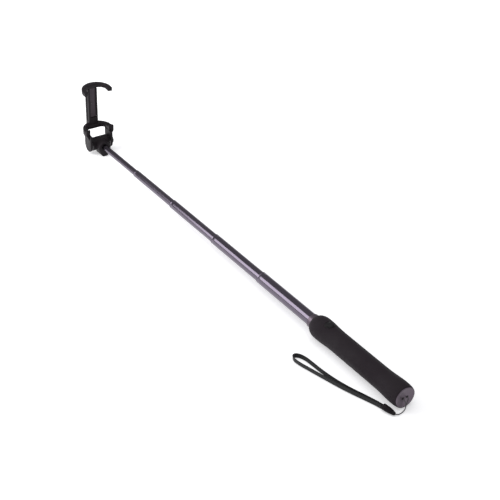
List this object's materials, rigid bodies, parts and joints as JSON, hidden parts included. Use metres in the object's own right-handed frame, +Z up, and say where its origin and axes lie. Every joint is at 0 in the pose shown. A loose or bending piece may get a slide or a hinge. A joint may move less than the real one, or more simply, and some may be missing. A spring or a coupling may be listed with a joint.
{
  "type": "telescopic selfie stick",
  "caption": "Telescopic selfie stick with a foam grip, top shutter button, sliding tube sections, tilting phone clamp with a sprung upper jaw, and a wrist strap.",
  "frame": {"origin": "middle of the base of the stick, on the surface it lies on, half way between the end cap and the back of the clamp", "axes": "+Y along the stick from the handle to the clamp, +Z up, +X to the side the hinge nut is on"},
  "size_m": [0.0731, 0.722, 0.1012],
  "materials": {
    "grip_foam": "closed-cell foam, matt",
    "tube_metal": "satin anodised, dark lilac grey",
    "cap_metal": "satin",
    "black_plastic": "fine moulded texture",
    "button_rubber": "soft, matt",
    "pad_rubber": "ribbed, matt",
    "steel": "plain",
    "sleeve_brass": "plain",
    "circuit_board": "solder mask",
    "lead_film": "flexible film",
    "strap_webbing": "woven",
    "strap_string": "braided"
  },
  "bodies": {
    "handle": {"grip_sleeve": "grip_foam", "handle_tube": "tube_metal", "front_collar": "cap_metal", "end_cap": "cap_metal", "button_board": "circuit_board", "button_switch": "steel", "ribbon_lead": "lead_film", "radio_board": "circuit_board", "coin_cell": "steel", "contact_spring": "steel", "strap_string": "strap_string", "strap_bead": "black_plastic", "wrist_strap": "strap_webbing"},
    "shutter": {"shutter_button": "button_rubber"},
    "section_1": {"tube_1": "tube_metal", "friction_sleeve_1": "sleeve_brass"},
    "section_2": {"tube_2": "tube_metal", "friction_sleeve_2": "sleeve_brass"},
    "section_3": {"tube_3": "tube_metal", "friction_sleeve_3": "sleeve_brass"},
    "section_4": {"tube_4": "tube_metal", "friction_sleeve_4": "sleeve_brass"},
    "section_5": {"tube_5": "tube_metal", "friction_sleeve_5": "sleeve_brass", "head_hub": "black_plastic"},
    "clamp": {"clamp_frame": "black_plastic", "hinge_pin": "steel", "hinge_nut": "black_plastic", "washer_left": "steel", "washer_right": "steel", "lower_pad_left": "pad_rubber", "lower_pad_right": "pad_rubber", "back_cover": "black_plastic", "cover_screw_1": "steel", "cover_screw_2": "steel", "guide_rod_left": "steel", "guide_rod_right": "steel", "return_spring_left": "steel", "return_spring_right": "steel"},
    "upper_jaw": {"upper_jaw": "black_plastic", "stem_screw": "steel", "upper_pad_left": "pad_rubber", "upper_pad_right": "pad_rubber"}
  },
  "joints": [
    {"name": "section_1_slide", "type": "slide", "parent": "handle", "child": "section_1", "axis": [0, -1, 0], "range_m": [0, 0.1039]},
    {"name": "section_2_slide", "type": "slide", "parent": "section_1", "child": "section_2", "axis": [0, -1, 0], "range_m": [0, 0.1021]},
    {"name": "section_3_slide", "type": "slide", "parent": "section_2", "child": "section_3", "axis": [0, -1, 0], "range_m": [0, 0.1018]},
    {"name": "section_4_slide", "type": "slide", "parent": "section_3", "child": "section_4", "axis": [0, -1, 0], "range_m": [0, 0.0987]},
    {"name": "section_5_slide", "type": "slide", "parent": "section_4", "child": "section_5", "axis": [0, -1, 0], "range_m": [0, 0.0921]},
    {"name": "clamp_tilt", "type": "hinge", "parent": "section_5", "child": "clamp", "pos_m": [0, 0.33453, 0.0137], "axis": [1, 0, 0], "range_deg": [-94.5, 85.5]},
    {"name": "jaw_slide", "type": "slide", "parent": "clamp", "child": "upper_jaw", "axis": [0, -0.0785, 0.9969], "range_m": [0, 0.028], "stiffness_N_per_m": 220, "springref_m": -0.012, "deforming": ["return_spring_left", "return_spring_right"]},
    {"name": "shutter_press", "type": "slide", "parent": "handle", "child": "shutter", "axis": [0, 0, -1], "range_m": [0, 0.0005], "stiffness_N_per_m": 1200, "springref_m": -0.0002}
  ]
}
